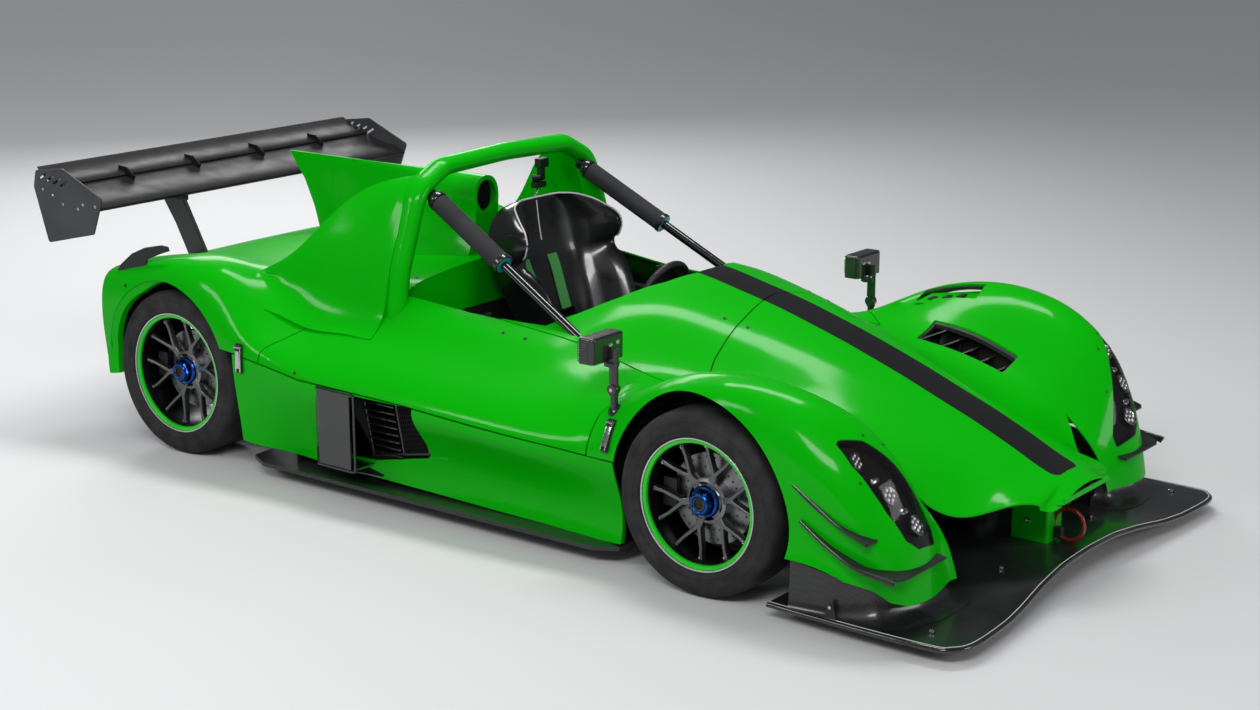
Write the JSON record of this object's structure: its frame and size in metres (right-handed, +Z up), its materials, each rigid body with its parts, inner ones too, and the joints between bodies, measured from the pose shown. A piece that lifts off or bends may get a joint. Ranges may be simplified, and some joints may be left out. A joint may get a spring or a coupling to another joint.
{
  "type": "open two-seat sports prototype race car",
  "caption": "Open-cockpit sports prototype race car with enclosed wheels, roll hoop, shark fin, rear wing and front splitter; wheels spin and steer.",
  "frame": {"origin": "on the ground under the middle of the car's length and width", "axes": "+X forward, +Y to the car's left, +Z up"},
  "size_m": [3.9824, 1.803, 1.1276],
  "materials": {
    "green_paint": "high-gloss bright green paint on moulded panels",
    "carbon": "gloss black woven carbon laminate",
    "black_plastic": "satin black moulding",
    "grey_plate": "satin dark grey composite plate",
    "lens_glass": "clear polycarbonate lens",
    "red_steel": "dark red coated steel loop",
    "dark_steel": "satin black coated steel tube",
    "foam_black": "dark foam sleeve",
    "seat_plastic": "gloss black moulded composite seat",
    "green_webbing": "green woven webbing",
    "cast_metal": "cast aluminium",
    "rim_metal": "satin dark grey alloy",
    "tyre_rubber": "black slick rubber"
  },
  "bodies": {
    "car": {"front_clam": "green_paint", "cowl": "green_paint", "side_panels": "green_paint", "side_pods": "green_paint", "rear_clam": "green_paint", "roll_hoop": "green_paint", "engine_cover_fin": "green_paint", "nose_mount": "green_paint", "headlamp_lenses": "lens_glass", "headlamps": "black_plastic", "louvres": "black_plastic", "splitter": "carbon", "tow_loop": "red_steel", "floor_panel": "carbon", "diffuser": "carbon", "tub": "black_plastic", "front_frame": "dark_steel", "rear_wall": "green_paint", "rear_wing": "carbon", "wing_end_plates": "grey_plate", "wing_pylons": "carbon", "aero_planes": "carbon", "side_ducts": "black_plastic", "mirrors": "black_plastic", "hoop_stays": "dark_steel", "stay_sleeves": "foam_black", "driver_seat": "seat_plastic", "harness": "green_webbing", "dashboard": "black_plastic", "engine_block": "cast_metal", "gearbox": "cast_metal", "rear_frame": "dark_steel", "wishbones": "dark_steel", "rear_uprights": "dark_steel"},
    "knuckle_left": {"knuckle_left": "dark_steel"},
    "knuckle_right": {"knuckle_right": "dark_steel"},
    "wheel_front_left": {"rim_front_left": "rim_metal", "tyre_front_left": "tyre_rubber"},
    "wheel_front_right": {"rim_front_right": "rim_metal", "tyre_front_right": "tyre_rubber"},
    "wheel_rear_left": {"rim_rear_left": "rim_metal", "tyre_rear_left": "tyre_rubber"},
    "wheel_rear_right": {"rim_rear_right": "rim_metal", "tyre_rear_right": "tyre_rubber"},
    "steering_wheel": {"steering_wheel": "black_plastic"}
  },
  "joints": [
    {"name": "steer_left", "type": "hinge", "parent": "car", "child": "knuckle_left", "pos_m": [1.08, 0.725, 0.29], "axis": [0, 0, 1], "range_deg": [-16, 16]},
    {"name": "steer_right", "type": "hinge", "parent": "car", "child": "knuckle_right", "pos_m": [1.08, -0.725, 0.29], "axis": [0, 0, 1], "range_deg": [-16, 16]},
    {"name": "spin_front_left", "type": "hinge", "parent": "knuckle_left", "child": "wheel_front_left", "pos_m": [1.08, 0.775, 0.29], "axis": [0, 1, 0], "continuous": true},
    {"name": "spin_front_right", "type": "hinge", "parent": "knuckle_right", "child": "wheel_front_right", "pos_m": [1.08, -0.775, 0.29], "axis": [0, 1, 0], "continuous": true},
    {"name": "spin_rear_left", "type": "hinge", "parent": "car", "child": "wheel_rear_left", "pos_m": [-1.277, 0.675, 0.3025], "axis": [0, 1, 0], "continuous": true},
    {"name": "spin_rear_right", "type": "hinge", "parent": "car", "child": "wheel_rear_right", "pos_m": [-1.277, -0.675, 0.3025], "axis": [0, 1, 0], "continuous": true},
    {"name": "steering_turn", "type": "hinge", "parent": "car", "child": "steering_wheel", "pos_m": [0.20607, 0.15, 0.61749], "axis": [-0.9326, 0, 0.361], "range_deg": [-128, 128]}
  ],
  "couplings": [
    {"joint": "steer_right", "follows": "steer_left", "ratio": 1},
    {"joint": "steering_turn", "follows": "steer_left", "ratio": 8}
  ]
}
